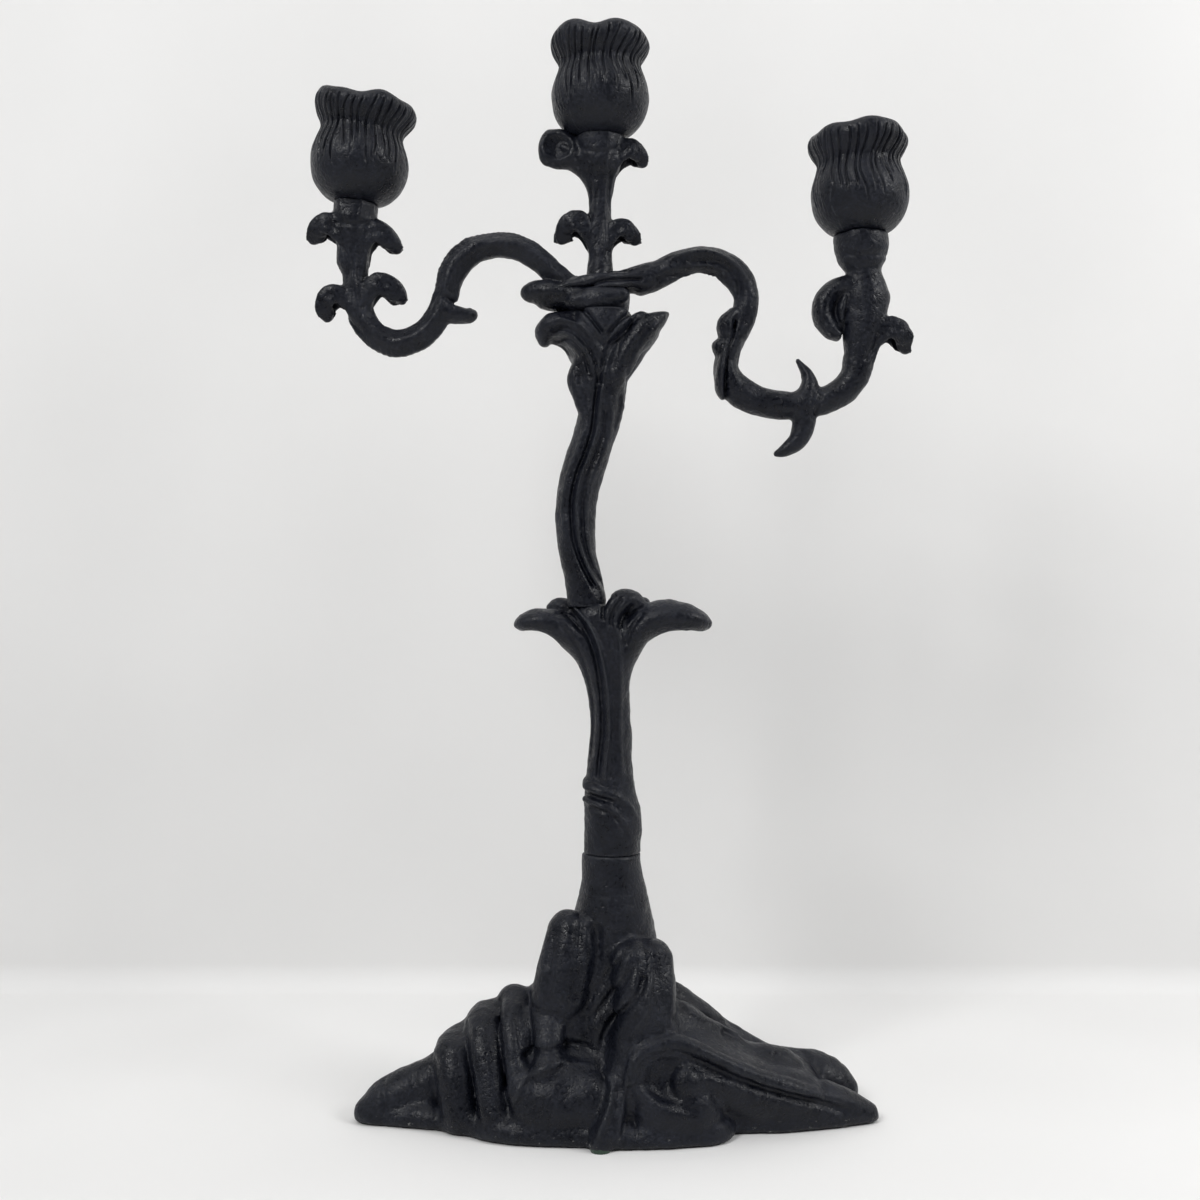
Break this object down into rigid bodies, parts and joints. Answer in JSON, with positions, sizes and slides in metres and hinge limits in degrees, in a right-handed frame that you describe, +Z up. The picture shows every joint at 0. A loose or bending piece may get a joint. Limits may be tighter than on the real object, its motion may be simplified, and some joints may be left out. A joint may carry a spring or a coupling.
{
  "type": "tabletop candelabra",
  "caption": "Cast-iron tabletop candelabra: tulip candle cups on branching arms with curled leaves, a bent stem, a leaf collar and a spreading root-shaped base, painted black.",
  "frame": {"origin": "centre of the footprint of the whole object, on the surface it stands on", "axes": "+Z up, +X to the viewer's right across the arms, +Y away from the front toe, towards the back toes"},
  "size_m": [0.2458, 0.1118, 0.444],
  "materials": {
    "iron": "satin black paint over sand-cast iron",
    "steel": "zinc-plated hardware",
    "felt": "dark self-adhesive felt"
  },
  "bodies": {
    "root": {"base": "iron", "felt_pads": "felt", "trunk": "iron", "upper_stem": "iron", "left_arm": "iron", "right_arm": "iron", "centre_post": "iron", "left_cup": "iron", "centre_cup": "iron", "right_cup": "iron", "left_cup_screw": "steel", "centre_cup_screw": "steel", "right_cup_screw": "steel", "left_cup_washer": "steel", "centre_cup_washer": "steel", "right_cup_washer": "steel", "hub_stud": "steel", "tie_rod": "steel", "tie_rod_washer": "steel", "tie_rod_nut": "steel"}
  },
  "joints": []
}
